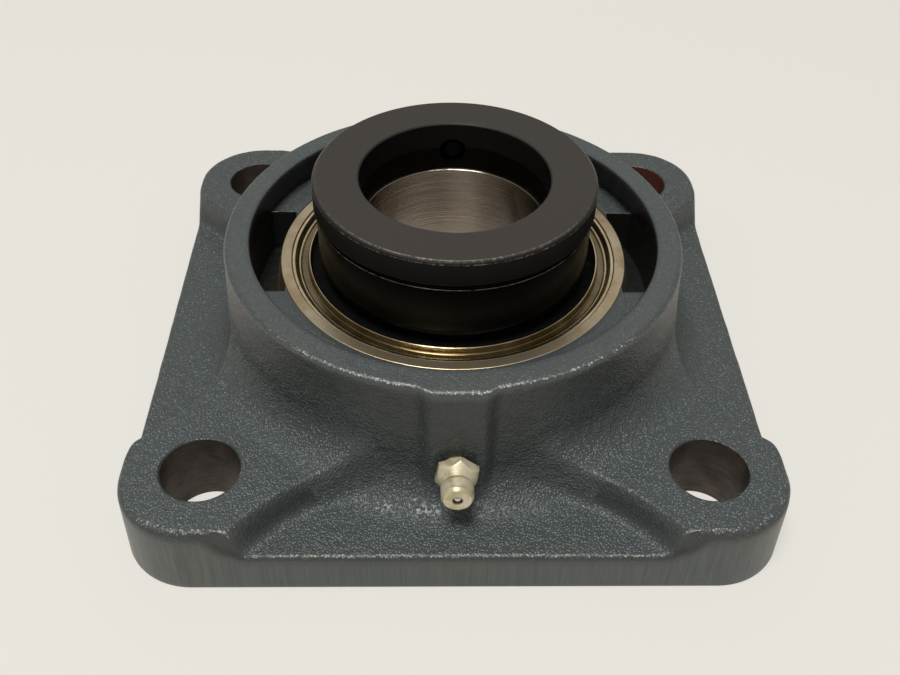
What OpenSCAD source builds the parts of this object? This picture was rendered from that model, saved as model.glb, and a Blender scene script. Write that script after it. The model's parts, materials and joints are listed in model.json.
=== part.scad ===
// Square flange bearing unit with a self-aligning ball insert and an eccentric locking collar.
// The origin is the centre of the mounting face. +Z runs along the shaft, away from that face.

/* [Flange] */
// Side of the square flange
flange_side = 134.8; // [124:0.2:150]
// Rounding of the flange's corners
corner_r = 15; // [8:0.5:20]
// Distance between neighbouring bolt holes
bolt_spacing = 102; // [98:1:110]
// Bolt hole diameter
bolt_hole_d = 16; // [10:0.5:20]
// Height of the corner pads above the mounting face
pad_h = 16.7; // [13:0.1:20]
// Height of the web along the flange's sides
web_h = 9.5; // [6:0.5:11]
// Width of the hollow between two pads, at the flange's edge
scoop_w = 94; // [84:1:98]

/* [Boss] */
// Diameter of the boss
boss_d = 101.5; // [96:0.5:106]
// Height of the boss's rim above the mounting face
boss_h = 38.8; // [36:0.2:46]
// Radius of the fillet between the boss and the web
web_fillet = 9; // [3:0.5:11]
// Radius of the fillet between the boss and the corner pads
pad_fillet = 10; // [3:0.5:12]
// Rounding of the rim's outer edge
rim_round = 1.2; // [0.4:0.1:2.5]
// Diameter of the counterbore inside the rim
counterbore_d = 89.8; // [84:0.2:93]
// Diameter of the hollow behind the seat
rear_recess_d = 75; // [68:0.5:77]
// Chamfer of the hollow at the mounting face
recess_chamfer = 1; // [0.4:0.1:2]
// Width of the two slots through which the insert is loaded
slot_w = 29; // [24:0.5:34]
// Width of the flat strip that carries the grease nipple
strip_w = 15; // [12:0.5:20]
// How far the strip stands out of the boss
strip_proud = 2.4; // [1:0.1:4]

/* [Bearing insert] */
// Height of the seat's centre above the mounting face
seat_h = 22; // [19:0.5:25]
// Diameter of the outer ring's spherical outside
insert_d = 80; // [78:0.5:82]
// Width of the outer ring
ring_w = 21; // [20:0.5:23]
// Shaft diameter
shaft_d = 40; // [36:0.5:41]
// Reach of the inner ring behind the seat's centre
inner_rear = 11; // [10.5:0.5:14]
// Reach of the inner ring in front of the seat's centre
inner_front = 19; // [17:0.5:22]
// Chamfer at both ends of the shaft bore
bore_chamfer = 0.5; // [0.3:0.1:1]
// Number of balls
ball_count = 9; // [7:1:9]
// Ball diameter over the radial height of the two rings together
ball_share = 0.6; // [0.54:0.01:0.62]
// Height of the race shoulders beside the balls
shoulder_h = 2.25; // [1.5:0.05:2.6]
// Inner race groove radius over the ball radius
inner_osculation = 1.04; // [1.02:0.01:1.08]
// Outer race groove radius over the ball radius
outer_osculation = 1.06; // [1.02:0.01:1.1]
// Diameter of the holes that feed grease through the outer ring
feed_hole_d = 2; // [1.5:0.1:2.5]

/* [Cage] */
// Sheet thickness of the cage
cage_t = 0.9; // [0.6:0.1:1]
// Radial width of the cage
cage_w = 4.8; // [3.6:0.1:5.4]
// Shank diameter of the cage rivets
rivet_d = 1.8; // [1.2:0.1:2.2]
// Head diameter of the cage rivets
rivet_head_d = 3.2; // [2.6:0.1:3.8]
// Head height of the cage rivets
rivet_head_h = 0.8; // [0.5:0.1:1.2]

/* [Seals] */
// Radial depth of the seat that holds a shield in the outer ring
shield_seat = 2.5; // [2:0.1:2.8]
// Axial depth of that seat below the ring's face
shield_seat_h = 2.7; // [2.6:0.1:2.9]
// Radial width of a shield
shield_w = 4.3; // [4:0.1:4.6]
// Sheet thickness of a shield
shield_t = 0.5; // [0.4:0.05:0.6]
// Depth of a shield's channel below the ring's face
channel_depth = 1.7; // [1.3:0.1:1.8]
// Thickness of the rubber lip
lip_t = 0.7; // [0.5:0.05:0.8]

/* [Locking collar] */
// Outside diameter of the collar
collar_d = 61; // [58:0.5:66]
// Width of the collar
collar_w = 19; // [17.5:0.5:22]
// Depth of the collar's lower band below its outside
collar_step = 0.5; // [0.2:0.1:1.2]
// Distance from the collar's top to its groove
groove_drop = 5.8; // [4:0.1:8]
// Width of the collar's groove
groove_w = 1.6; // [0.5:0.1:2.2]
// Depth of the collar's groove
groove_depth = 1; // [0.7:0.1:1.6]
// Chamfer of the collar's outer edges
collar_chamfer = 0.8; // [0.4:0.1:1.4]
// Chamfer of the collar's bore at the top
collar_bore_chamfer = 0.9; // [0.4:0.1:1.4]
// Where the eccentric nose starts, in front of the seat's centre
nose_start = 12; // [11.5:0.5:13]
// Wall of the eccentric nose around the shaft bore
nose_wall = 5; // [3.5:0.1:5.4]
// Offset of the eccentric nose from the shaft's axis
nose_offset = 0.8; // [0.4:0.1:1]
// Distance from the collar's top to the set screw's axis
screw_drop = 7.2; // [6:0.1:7.6]
// Set screw diameter
screw_d = 6; // [4:0.5:7]
// Set screw length
screw_len = 7.5; // [6:0.5:9]
// Across flats of the set screw's socket
screw_socket = 3; // [2:0.5:3.5]
// Depth of the set screw's socket
screw_socket_h = 3; // [2:0.5:4]

/* [Grease nipple] */
// Height of the nipple's axis above the mounting face
nipple_h = 20; // [18:0.5:22]
// Diameter of the nipple's thread
nipple_thread_d = 6; // [5:0.5:8]
// Length of the nipple's thread
nipple_thread_len = 5.5; // [4:0.5:7]
// Gap between the strip and the nipple's hexagon
nipple_stand = 1.3; // [0.4:0.1:2]
// Across flats of the nipple's hexagon
nipple_hex = 8; // [7:0.2:10]
// Height of the nipple's hexagon with its cone
nipple_hex_h = 3.2; // [2.4:0.1:4]
// Height of the hexagon's corners below the cone
nipple_corner_h = 1; // [0.6:0.1:1.8]
// Diameter of the cone's small end
nipple_cone_d = 5.8; // [5.2:0.1:6.6]
// Turn of the hexagon from a corner straight up
nipple_hex_turn = -9; // [-30:1:30]
// Diameter of the nipple's head
nipple_head_d = 6.6; // [6:0.1:7]
// Length of the nipple in front of the strip
nipple_len = 8.5; // [7.5:0.1:11]
// Diameter of the neck behind the head
nipple_neck_d = 5; // [4.4:0.1:5.6]
// Length of that neck
nipple_neck_h = 0.8; // [0.5:0.1:1.5]
// Diameter of the nipple's flat end
nipple_tip_d = 5.2; // [3.6:0.1:5.8]
// Diameter of the hole in the nipple's end
nipple_mouth_d = 1.8; // [1.2:0.1:2]
// Check ball diameter
check_ball_d = 2.2; // [2.1:0.1:2.6]
// Wire diameter of the check ball's spring
spring_wire_d = 0.3; // [0.2:0.05:0.4]
// Number of turns of that spring
spring_turns = 6; // [4:1:8]

/* [Clearances] */
// Gap between the insert and its spherical seat
seat_gap = 0.08; // [0.05:0.01:0.1]
// Gap between the balls and their races
race_gap = 0.06; // [0.04:0.01:0.1]
// Gap between the balls and the cage's pockets
pocket_gap = 0.2; // [0.1:0.05:0.3]
// Least gap between the cage and the seal lips
cage_run_gap = 0.4; // [0.3:0.05:0.5]
// Gap between the seal lips and the inner ring
lip_gap = 0.06; // [0.04:0.01:0.1]
// Gap around pieces that are pressed or screwed into another
fixed_gap = 0.03; // [0.02:0.01:0.05]
// Gap between the collar and the eccentric nose
nose_gap = 0.06; // [0.04:0.01:0.1]
// Gap between the collar and the inner ring's shoulder
shoulder_gap = 0.05; // [0.03:0.01:0.1]
// Gap between the collar's bore and the shaft, which the eccentric takes up
shaft_gap = 0.45; // [0.3:0.05:0.6]
// Gap between the set screw and its thread
screw_gap = 0.05; // [0.03:0.01:0.1]
// Distance of the set screw's point from the shaft
screw_back = 1; // [0.8:0.1:1.5]

/* [Hidden] */
$fn = 64;
arc_steps = 6;
cut_past = 1;

boss_r = boss_d / 2;
strip_y = boss_r + strip_proud;
scoop_depth = flange_side / 2 - boss_r;
scoop_r = (pow(scoop_w / 2, 2) + pow(scoop_depth, 2)) / (2 * scoop_depth);
scoop_fillet = pad_h - web_h;

face_h = ring_w / 2;
pitch_r = (shaft_d + insert_d) / 4;
ball_room = face_h - channel_depth - shield_t - lip_t - cage_run_gap - cage_t - pocket_gap;
ball_r = min(ball_share * (insert_d - shaft_d) / 4, ball_room);
inner_land_r = pitch_r - ball_r + shoulder_h;
outer_land_r = pitch_r + ball_r - shoulder_h;
inner_groove_r = ball_r * inner_osculation;
outer_groove_r = ball_r * outer_osculation;
feed_start_h = nipple_h - seat_h;
feed_end_h = -(ball_r + feed_hole_d / 4);
pocket_r = ball_r + pocket_gap;
ball_step = 360 / ball_count;

shield_r = outer_land_r + shield_seat;
shield_hole_r = shield_r - shield_w;
bead_w = 0.6;
bead_drop = 0.3;
slope_w = 1.9;
slope_drop = 1.2;
channel_lean = 0.2;

nose_r = shaft_d / 2 + nose_wall;
collar_r = collar_d / 2;
collar_start = nose_start + shoulder_gap;
collar_top = collar_start + collar_w;
collar_bore_r = shaft_d / 2 + shaft_gap;
screw_h = collar_top - screw_drop;
screw_start = shaft_d / 2 + screw_back;
screw_point_share = 0.6;

check_ball_r = check_ball_d / 2;
mouth_land = 0.5;
chamber_gap = 0.2;
chamber_r = check_ball_r + chamber_gap;
channel_r = nipple_mouth_d / 2;
check_ball_z = nipple_len - mouth_land - fixed_gap
    - sqrt(pow(check_ball_r, 2) - pow(channel_r, 2));
spring_gap = 0.15;
spring_r = chamber_r - spring_wire_d / 2 - spring_gap;
spring_start = spring_wire_d / 2 + fixed_gap;
spring_end = check_ball_z - sqrt(pow(check_ball_r, 2) - pow(spring_r, 2))
    - spring_wire_d - fixed_gap;
spring_sides = 6;
spring_turn_steps = 12;

// Points of an arc about a centre, from one angle to another
function arc(centre, radius, from, to) = [
    for (i = [0 : arc_steps])
        let (a = from + (to - from) * i / arc_steps)
        centre + radius * [cos(a), sin(a)]
];

module at_seat() {
    translate([0, 0, seat_h]) children();
}

module at_corners(apart = bolt_spacing) {
    for (x = [-1, 1], y = [-1, 1])
        translate([x, y, 0] * apart / 2) children();
}

module on_sides() {
    for (a = [0 : 90 : 270])
        rotate(a) children();
}

module at_nipple() {
    translate([0, -strip_y, nipple_h]) rotate([90, 0, 0]) children();
}

module at_balls(turn = 0) {
    for (i = [0 : ball_count - 1])
        rotate(i * ball_step + turn) translate([pitch_r, 0, 0]) children();
}

// Square with rounded corners
module flange_outline() {
    straight = flange_side - 2 * corner_r;
    square([flange_side, straight], center = true);
    square([straight, flange_side], center = true);
    at_corners(straight) circle(corner_r);
}

// Hollow between two pads: an arch in plan, with a hollow fillet at its foot
module scoop(top) {
    foot = arc([scoop_r - scoop_fillet, pad_h], scoop_fillet, -90, 0);
    translate([0, -boss_r - scoop_r, 0])
        rotate_extrude()
            polygon(concat([[0, web_h]], foot, [[scoop_r, top], [0, top]]));
}

// Flange with its pads, which flow up into the boss
module flange() {
    crest = pad_h + pad_fillet;
    flow = arc([boss_r + pad_fillet, crest], pad_fillet, -90, -180);
    intersection() {
        difference() {
            linear_extrude(crest) flange_outline();
            on_sides() scoop(crest + cut_past);
        }
        rotate_extrude()
            polygon(concat([[0, 0], [flange_side, 0], [flange_side, pad_h]], flow, [[0, crest]]));
    }
}

module boss() {
    foot = arc([boss_r + web_fillet, web_h + web_fillet], web_fillet, -90, -180);
    edge = arc([boss_r - rim_round, boss_h - rim_round], rim_round, 0, 90);
    rotate_extrude()
        polygon(concat([[0, 0], [boss_r + web_fillet, 0]], foot, edge, [[0, boss_h]]));
    translate([-strip_w / 2, -strip_y, 0])
        cube([strip_w, strip_y, boss_h - rim_round]);
}

// Spherical seat, open at the front for the insert and at the back for the shaft
module insert_seat() {
    groove_w = nipple_mouth_d + feed_hole_d / 2;
    groove_r = insert_d / 2 + feed_hole_d / 2;
    at_seat() {
        sphere(insert_d / 2 + seat_gap);
        translate([0, 0, face_h]) cylinder(d = counterbore_d, h = boss_h);
        intersection() {
            cylinder(d = counterbore_d, h = boss_h);
            translate([-counterbore_d, -slot_w / 2, 0]) cube([2 * counterbore_d, slot_w, boss_h]);
        }
    }
    translate([0, 0, -cut_past]) cylinder(d = rear_recess_d, h = seat_h + cut_past);
    translate([0, 0, -cut_past])
        cylinder(
            d1 = rear_recess_d + 2 * (recess_chamfer + cut_past),
            d2 = rear_recess_d,
            h = recess_chamfer + cut_past
        );
    translate([0, 0, nipple_h - groove_w / 2]) cylinder(r = groove_r, h = groove_w);
}

// Tapped hole for the nipple, and the drilling from it to the seat's groove
module grease_way() {
    at_nipple() {
        translate([0, 0, -nipple_thread_len - cut_past])
            cylinder(d = nipple_thread_d, h = nipple_thread_len + 2 * cut_past);
        translate([0, 0, -strip_y + rear_recess_d / 2])
            cylinder(d = nipple_mouth_d, h = strip_y - rear_recess_d / 2);
    }
}

module housing() {
    color("darkslategray")
        difference() {
            union() {
                flange();
                boss();
            }
            at_corners()
                translate([0, 0, -cut_past]) cylinder(d = bolt_hole_d, h = pad_h + pad_fillet + 2 * cut_past);
            insert_seat();
            grease_way();
        }
}

module grease_nipple_body() {
    hex_r = nipple_hex / 2 / cos(30);
    cone_r = nipple_cone_d / 2;
    cone_slope = (hex_r - cone_r) / (nipple_hex_h - nipple_corner_h);
    hex_end = nipple_stand + nipple_hex_h;
    neck_end = hex_end + nipple_neck_h;
    head_r = nipple_head_d / 2;
    tip_r = nipple_tip_d / 2;
    tip_round = head_r - tip_r;
    dome = arc([tip_r, nipple_len - tip_round], tip_round, 0, 90);
    color("palegoldenrod")
        at_nipple()
            difference() {
                union() {
                    translate([0, 0, -nipple_thread_len])
                        cylinder(d = nipple_thread_d - 2 * fixed_gap, h = nipple_thread_len + nipple_stand);
                    translate([0, 0, nipple_stand])
                        intersection() {
                            rotate(90 + nipple_hex_turn) cylinder(r = hex_r, h = nipple_hex_h, $fn = 6);
                            cylinder(r1 = hex_r + cone_slope * nipple_corner_h, r2 = cone_r, h = nipple_hex_h);
                        }
                    translate([0, 0, -nipple_thread_len])
                        cylinder(d = nipple_neck_d, h = nipple_thread_len + neck_end + tip_round);
                    rotate_extrude()
                        polygon(concat([[0, neck_end], [head_r, neck_end]], dome, [[0, nipple_len]]));
                }
                cylinder(r = chamber_r, h = nipple_len - mouth_land);
                translate([0, 0, -nipple_thread_len - cut_past])
                    cylinder(r = channel_r, h = nipple_thread_len + nipple_len + 2 * cut_past);
            }
}

module grease_nipple_ball() {
    color("silver")
        at_nipple()
            translate([0, 0, check_ball_z]) sphere(check_ball_r);
}

// Helix of round wire, as rings of points along the coil
module grease_nipple_spring() {
    rings = spring_turns * spring_turn_steps;
    rise = (spring_end - spring_start) / rings;
    points = [
        for (i = [0 : rings], s = [0 : spring_sides - 1])
            let (a = 360 * i / spring_turn_steps)
            let (b = 360 * s / spring_sides)
            let (r = spring_r + spring_wire_d / 2 * cos(b))
            [r * cos(a), r * sin(a), spring_start + i * rise + spring_wire_d / 2 * sin(b)]
    ];
    walls = [
        for (i = [0 : rings - 1], s = [0 : spring_sides - 1])
            let (next = (s + 1) % spring_sides)
            let (low = i * spring_sides)
            let (high = low + spring_sides)
            [low + s, high + s, high + next, low + next]
    ];
    first = [for (s = [0 : spring_sides - 1]) s];
    last = [for (s = [spring_sides - 1 : -1 : 0]) rings * spring_sides + s];
    color("gray")
        at_nipple()
            polyhedron(points, concat([first, last], walls), convexity = 8);
}

module outer_ring() {
    feed_slope = atan2(feed_start_h - feed_end_h, insert_d / 2 - outer_land_r);
    color("tan")
        at_seat()
            difference() {
                intersection() {
                    sphere(insert_d / 2);
                    translate([0, 0, -face_h]) cylinder(d = insert_d + cut_past, h = ring_w);
                }
                translate([0, 0, -face_h - cut_past]) cylinder(r = outer_land_r, h = ring_w + 2 * cut_past);
                for (side = [0, 1])
                    mirror([0, 0, side])
                        translate([0, 0, face_h - shield_seat_h])
                            cylinder(r = shield_r, h = shield_seat_h + cut_past);
                rotate_extrude()
                    translate([pitch_r + ball_r + race_gap - outer_groove_r, 0]) circle(outer_groove_r);
                for (a = [0, 180])
                    rotate(a)
                        translate([outer_land_r, 0, feed_end_h])
                            rotate([0, 90 - feed_slope, 0])
                                translate([0, 0, -shoulder_h / 2])
                                    cylinder(d = feed_hole_d, h = insert_d / 4);
            }
}

// Pressed sheet ring: a skirt in the outer ring's seat, a slope, a channel and an upturned edge
module seal_shield() {
    seat_foot = face_h - shield_seat_h + fixed_gap;
    edge_r = shield_r - fixed_gap;
    bead_h = face_h - bead_drop;
    bead_r = edge_r - bead_w;
    slope_r = edge_r - slope_w;
    slope_h = face_h - slope_drop;
    channel_h = face_h - channel_depth;
    wall_r = shield_hole_r + shield_t;
    rotate_extrude()
        polygon([
            [edge_r, seat_foot],
            [edge_r, bead_h],
            [bead_r, bead_h],
            [slope_r, slope_h],
            [slope_r - channel_lean, channel_h],
            [wall_r, channel_h],
            [wall_r, face_h],
            [shield_hole_r, face_h],
            [shield_hole_r, channel_h - shield_t],
            [slope_r + shield_t, channel_h - shield_t],
            [edge_r - shield_t, slope_h],
            [edge_r - shield_t, seat_foot]
        ]);
}

module front_seal_shield() {
    color("darkkhaki") at_seat() seal_shield();
}

module rear_seal_shield() {
    color("darkkhaki") at_seat() mirror([0, 0, 1]) seal_shield();
}

// Rubber washer under the shield, with a lip that leans outwards on the inner ring
module seal_lip() {
    top = face_h - channel_depth - shield_t - fixed_gap / 2;
    edge_r = inner_land_r + lip_gap;
    root_r = edge_r + 2 * lip_t;
    rotate_extrude()
        polygon([
            [shield_hole_r + shield_w / 3, top],
            [shield_hole_r + shield_w / 3, top - lip_t],
            [root_r, top - lip_t],
            [edge_r, top],
            [edge_r, top + lip_t / 2],
            [root_r, top]
        ]);
}

module front_seal_lip() {
    color("black") at_seat() seal_lip();
}

module rear_seal_lip() {
    color("black") at_seat() mirror([0, 0, 1]) seal_lip();
}

module inner_ring() {
    color("gainsboro")
        at_seat()
            difference() {
                union() {
                    translate([0, 0, -inner_rear]) cylinder(r = inner_land_r, h = inner_rear + nose_start);
                    translate([nose_offset, 0, 0]) cylinder(r = nose_r, h = inner_front);
                }
                translate([0, 0, -inner_rear - cut_past])
                    cylinder(d = shaft_d, h = inner_rear + inner_front + 2 * cut_past);
                translate([0, 0, -inner_rear]) bore_mouth();
                translate([0, 0, inner_front]) mirror([0, 0, 1]) bore_mouth();
                rotate_extrude()
                    translate([pitch_r - ball_r - race_gap + inner_groove_r, 0]) circle(inner_groove_r);
            }
}

module bore_mouth() {
    translate([0, 0, -cut_past])
        cylinder(
            d1 = shaft_d + 2 * (bore_chamfer + cut_past),
            d2 = shaft_d,
            h = bore_chamfer + cut_past
        );
}

module ball(i) {
    color("silver")
        at_seat()
            rotate((i - 1) * ball_step) translate([pitch_r, 0, 0]) sphere(ball_r);
}

// One pressed half of the cage: a flat ribbon with a round cup over each ball
module cage_half() {
    cup_r = pocket_r + cage_t;
    difference() {
        intersection() {
            difference() {
                cylinder(r = pitch_r + cage_w / 2, h = cup_r + cut_past);
                translate([0, 0, -cut_past]) cylinder(r = pitch_r - cage_w / 2, h = cup_r + 3 * cut_past);
            }
            union() {
                cylinder(r = pitch_r + cage_w, h = cage_t);
                at_balls() sphere(cup_r);
            }
        }
        at_balls() sphere(pocket_r);
        at_balls(ball_step / 2)
            translate([0, 0, -cut_past]) cylinder(d = rivet_d + 2 * fixed_gap, h = cage_t + 2 * cut_past);
    }
}

module cage_front() {
    color("lightslategray") at_seat() cage_half();
}

module cage_rear() {
    color("lightslategray") at_seat() mirror([0, 0, 1]) cage_half();
}

module cage_rivets() {
    reach = cage_t + rivet_head_h;
    color("gray")
        at_seat()
            at_balls(ball_step / 2) {
                translate([0, 0, -reach]) cylinder(d = rivet_d, h = 2 * reach);
                for (side = [0, 1])
                    mirror([0, 0, side])
                        translate([0, 0, cage_t]) cylinder(d = rivet_head_d, h = rivet_head_h);
            }
}

module locking_collar() {
    band_r = collar_r - collar_step;
    groove_top = collar_top - groove_drop;
    groove_bottom = groove_top - groove_w;
    color("black")
        at_seat()
            difference() {
                rotate_extrude()
                    polygon([
                        [0, collar_start],
                        [band_r - collar_chamfer, collar_start],
                        [band_r, collar_start + collar_chamfer],
                        [band_r, groove_bottom],
                        [collar_r - groove_depth, groove_bottom],
                        [collar_r - groove_depth, groove_top],
                        [collar_r, groove_top],
                        [collar_r, collar_top - collar_chamfer],
                        [collar_r - collar_chamfer, collar_top],
                        [0, collar_top]
                    ]);
                translate([0, 0, collar_start - cut_past])
                    cylinder(r = collar_bore_r, h = collar_w + 2 * cut_past);
                translate([0, 0, collar_top - collar_bore_chamfer])
                    cylinder(
                        r1 = collar_bore_r,
                        r2 = collar_bore_r + collar_bore_chamfer + cut_past,
                        h = collar_bore_chamfer + cut_past
                    );
                translate([nose_offset, 0, collar_start - cut_past])
                    cylinder(r = nose_r + nose_gap, h = inner_front + shoulder_gap - collar_start + cut_past);
                translate([0, 0, screw_h])
                    rotate([-90, 0, 0]) cylinder(d = screw_d, h = collar_r + cut_past);
            }
}

module collar_set_screw() {
    body_r = screw_d / 2 - screw_gap;
    point_r = body_r * screw_point_share;
    point_h = body_r - point_r;
    color("dimgray")
        at_seat()
            translate([0, screw_start, screw_h])
                rotate([-90, 0, 0])
                    difference() {
                        union() {
                            cylinder(r1 = point_r, r2 = body_r, h = point_h);
                            translate([0, 0, point_h]) cylinder(r = body_r, h = screw_len - point_h);
                        }
                        translate([0, 0, screw_len - screw_socket_h])
                            cylinder(d = screw_socket / cos(30), h = screw_socket_h + cut_past, $fn = 6);
                    }
}

housing();
grease_nipple_body();
grease_nipple_ball();
grease_nipple_spring();
outer_ring();
front_seal_shield();
front_seal_lip();
rear_seal_shield();
rear_seal_lip();
inner_ring();
cage_front();
cage_rear();
cage_rivets();
for (i = [1 : ball_count])
    ball(i);
locking_collar();
collar_set_screw();
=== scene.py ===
import json

import bpy
import numpy as np
from mathutils import Matrix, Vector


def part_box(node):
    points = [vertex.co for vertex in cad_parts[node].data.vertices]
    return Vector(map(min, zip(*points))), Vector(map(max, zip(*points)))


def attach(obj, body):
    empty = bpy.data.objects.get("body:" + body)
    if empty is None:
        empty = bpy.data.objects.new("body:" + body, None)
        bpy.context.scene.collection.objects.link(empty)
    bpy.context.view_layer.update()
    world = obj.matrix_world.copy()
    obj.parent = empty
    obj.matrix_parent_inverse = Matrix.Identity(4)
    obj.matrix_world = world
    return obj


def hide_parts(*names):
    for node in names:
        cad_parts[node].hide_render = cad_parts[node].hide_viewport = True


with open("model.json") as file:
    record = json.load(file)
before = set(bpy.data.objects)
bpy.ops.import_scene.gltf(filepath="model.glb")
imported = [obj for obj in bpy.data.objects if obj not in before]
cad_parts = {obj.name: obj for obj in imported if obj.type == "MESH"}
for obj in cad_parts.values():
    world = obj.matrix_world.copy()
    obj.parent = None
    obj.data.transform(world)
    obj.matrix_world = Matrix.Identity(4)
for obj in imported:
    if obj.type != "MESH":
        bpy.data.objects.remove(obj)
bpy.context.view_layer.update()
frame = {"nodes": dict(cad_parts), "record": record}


# Housing
# One grey iron casting: a square flange with a pad at each corner and a round boss for the bearing insert.
# It is poured in a sand mould, ground along its sides, bored and drilled, and sprayed with slate enamel.

MM = 0.001
FLAT = np.pi / 2


def box_of(node):
    """Lowest and highest corner of a CAD node, in millimetres."""
    return [np.array(corner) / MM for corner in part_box(node)]


bolts = next(mount for mount in frame["record"]["mounts"] if mount["name"] == "bolt_holes")
bolt_place = bolts["dims"]["spacing_x_mm"] / 2
bolt_r = bolts["dims"]["hole_r_mm"]
flange_half = box_of("housing")[1][0]
boss_top = box_of("housing")[1][2]
ring_low, ring_high = box_of("outer_ring")
ring_r = ring_high[0]
ring_face = ring_high[2]
seat_z = (ring_low[2] + ring_high[2]) / 2
corner_r = 15.0
corner_place = flange_half - corner_r
side_draft = 0.45
foot_round = 0.4
pad_h = 16.7
pad_edge = 1.7
web_h = 9.5
web_edge = 0.9
ridge_turn = np.radians(34)
ridge_r = flange_half / np.cos(ridge_turn)
ridge_swing = np.radians(17)
ridge_bend = 9.0
run_out_from = np.radians(39.5)
run_out_to = np.radians(33)
ridge_setback = 1.1
ridge_fade = 1.5
ridge_blend = 1.0
scoop_wall = 4.2
scoop_hollow = 4.5
scoop_crest = 0.2
boss_r = 50.75
boss_low_r = boss_r + 0.7
boss_high_r = boss_r - 0.3
boss_fillet = 9.5
strip_y = 53.15
strip_half = 8.2
strip_edge = 3.6
strip_lean = 1.7
strip_lean_from = 21.0
strip_blend = 2.0
rim_round = 1.2
counterbore_r = 44.9
counterbore_round = 0.4
seat_r = ring_r + 0.08
recess_r = 37.5
recess_chamfer = 1.0
slot_half = 14.5


def arrow(*parts):
    """Joins coordinates that broadcast together into points."""
    return np.stack(np.broadcast_arrays(*parts), axis=-1)


def step(low, high, value):
    """Smooth step: 0 below low, 1 above high, and a cubic between them."""
    t = np.clip((value - low) / (high - low), 0, 1)
    return t * t * (3 - 2 * t)


def over(one, other, blend):
    """The larger of two surfaces, rounded by a parabola where they come closer than the blend."""
    return np.maximum(one, other) + np.maximum(blend - np.abs(one - other), 0) ** 2 / (4 * blend)


def lumps(points, size, seed):
    """Random heights from -1 to 1 on a lattice of that size, blended by a smooth step along each axis."""
    cells = 64
    lattice = np.random.default_rng(seed).uniform(-1, 1, (cells, cells, cells))
    place = points / size
    cell = np.floor(place).astype(int)
    share = place - cell
    share = share * share * (3 - 2 * share)
    total = np.zeros(points.shape[:-1])
    for corner in np.ndindex(2, 2, 2):
        weight = np.prod(np.where(corner, share, 1 - share), axis=-1)
        x, y, z = np.moveaxis((cell + corner) % cells, -1, 0)
        total += weight * lattice[x, y, z]
    return total


def flange_edge(theta):
    """Distance from the axis to the rounded square: a flat side, or the arc of the nearest corner."""
    a, b = np.abs(np.cos(theta)), np.abs(np.sin(theta))
    side = flange_half / np.maximum(a, b)
    middle = corner_place * (a + b)
    room = np.maximum(middle**2 - 2 * corner_place**2 + corner_r**2, 0)
    return np.where(side * np.minimum(a, b) <= corner_place, side, middle + np.sqrt(room))


def pad_turn(r):
    """Angle of a pad's edge from the middle of the side: it leaves the boss at 17 degrees and swings out
    towards 34 degrees."""
    return ridge_turn - ridge_swing * np.exp(-np.maximum(r - boss_r, 0) / ridge_bend)


def pad_ridge(r, theta):
    """Distance from the edge of the nearest pad, positive in the hollow between two pads. Near the flange's
    rim the edge bends round and runs out along the side, set back from it."""
    off_side = np.abs((theta + FLAT / 2) % FLAT - FLAT / 2)
    slant = r * (ridge_turn - pad_turn(r)) / ridge_bend
    across = r * (pad_turn(r) - off_side) / np.sqrt(1 + slant**2)
    run_out = step(run_out_from, run_out_to, off_side)
    setback = (ridge_setback + ridge_fade) * run_out - ridge_fade
    return over(across, setback - (flange_half - r * np.cos(off_side)), ridge_blend)


def flange_top(r, theta):
    """Height of the flange: pad height up to the ridge, then a hollow wall that runs out into the web."""
    past = scoop_crest * np.logaddexp(0, pad_ridge(r, theta) / scoop_crest)
    return web_h + (pad_h - web_h) * np.clip(1 - past / scoop_wall, 0, 1) ** scoop_hollow


def fan(r):
    """Angles of the columns at each distance from the axis. In every eighth of the turn one column runs
    along the pad's edge, and the others close up towards it from the side's middle and the corner."""
    edge = pad_turn(np.reshape(r, (-1, 1)))
    from_side = 1 - (1 - np.linspace(0, 1, 41)[:-1]) ** 1.6
    from_edge = np.linspace(0, 1, 33) ** 1.25
    eighth = np.concatenate([from_side * edge, edge + from_edge * (FLAT / 2 - edge)], axis=1)
    quarter = np.concatenate([eighth[:, :-1], FLAT - eighth[:, :0:-1]], axis=1)
    return np.concatenate([quarter + turn * FLAT for turn in range(4)], axis=1)


def strip_reach(theta, z):
    """Distance from the axis to the flat strip on the boss, which leans back towards the rim. Away from the
    strip it falls below the boss."""
    lean = strip_lean * np.clip((z - strip_lean_from) / (boss_top - strip_lean_from), 0, 1)
    across = (strip_y - lean) / np.maximum(-np.sin(theta), 1e-3)
    on_strip = step(strip_half + strip_edge, strip_half - strip_edge, np.abs(across * np.cos(theta)))
    below = boss_high_r - 2 * strip_blend
    return below + (across - below) * on_strip * (np.sin(theta) < 0)


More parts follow.
